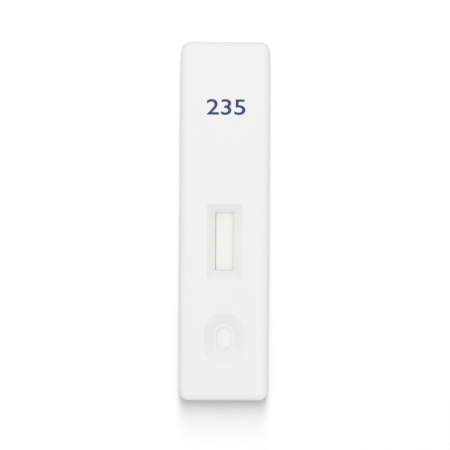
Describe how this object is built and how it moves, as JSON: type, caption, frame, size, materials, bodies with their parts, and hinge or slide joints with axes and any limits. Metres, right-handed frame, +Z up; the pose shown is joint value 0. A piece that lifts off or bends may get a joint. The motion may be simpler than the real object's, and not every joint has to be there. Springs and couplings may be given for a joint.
{
  "type": "lateral flow cassette",
  "caption": "Flat white moulded cassette with a sloped reading window and an oval sample well over a layered paper test strip.",
  "frame": {"origin": "middle of the flat base, on the surface that the cassette lies on", "axes": "+Z up out of the reading face, +Y along the cassette towards its grip end and away from the sample well, +X across it"},
  "size_m": [0.02, 0.08, 0.0052],
  "materials": {
    "white_housing": "white polystyrene, fine satin mould finish",
    "backing_card": "smooth white film card",
    "membrane": "matte porous nitrocellulose",
    "conjugate_pad": "soft glass fibre",
    "sample_pad": "soft pressed fibre",
    "absorbent_pad": "thick cellulose paper"
  },
  "bodies": {
    "root": {"upper_housing": "white_housing", "lower_housing": "white_housing", "backing_card": "backing_card", "membrane": "membrane", "conjugate_pad": "conjugate_pad", "sample_pad": "sample_pad", "absorbent_pad": "absorbent_pad"}
  },
  "joints": []
}
